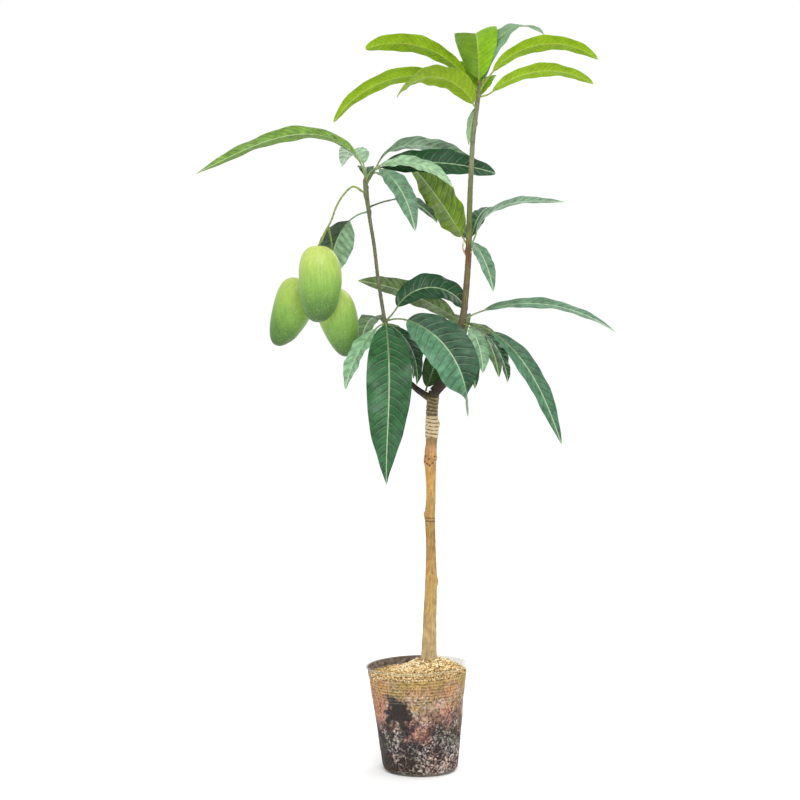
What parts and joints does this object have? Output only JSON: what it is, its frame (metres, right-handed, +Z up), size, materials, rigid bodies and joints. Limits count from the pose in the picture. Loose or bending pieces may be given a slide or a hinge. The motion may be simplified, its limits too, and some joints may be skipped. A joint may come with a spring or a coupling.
{
  "type": "mango tree sapling",
  "caption": "Grafted mango sapling with a bare trunk, whorls of long leaves and hanging green fruit, in a clear round nursery pot.",
  "frame": {"origin": "middle of the pot's flat underside", "axes": "+Z up along the plant, +X towards the right of the front view, +Y away from the viewer of the front"},
  "size_m": [0.6078, 0.2555, 1.0934],
  "materials": {
    "clear_plastic": "thin clear plastic, a little dull",
    "soil": "moist brown growing mix with pale husk",
    "bark": "smooth tan bark",
    "tape": "pale wound grafting tape",
    "green_bark": "olive young bark",
    "stalk": "yellow-green stalk",
    "mango": "unripe green skin with a soft sheen",
    "young_leaf": "soft satin young leaf",
    "leaf": "leathery satin leaf"
  },
  "bodies": {
    "root": {"pot": "clear_plastic", "soil": "soil", "trunk": "bark", "graft_tape": "tape", "leader_lower": "green_bark", "leader_middle": "green_bark", "leader_upper": "green_bark", "left_bough_lower": "green_bark", "left_bough_upper": "green_bark", "fruit_stalk": "stalk", "mango_front": "mango", "mango_left": "mango", "mango_right": "mango", "leaves_top": "young_leaf", "leaves_middle": "leaf", "leaves_lower_right": "leaf", "leaves_lower_left": "leaf", "leaves_left_tip": "leaf", "leaves_fork": "leaf"}
  },
  "joints": []
}
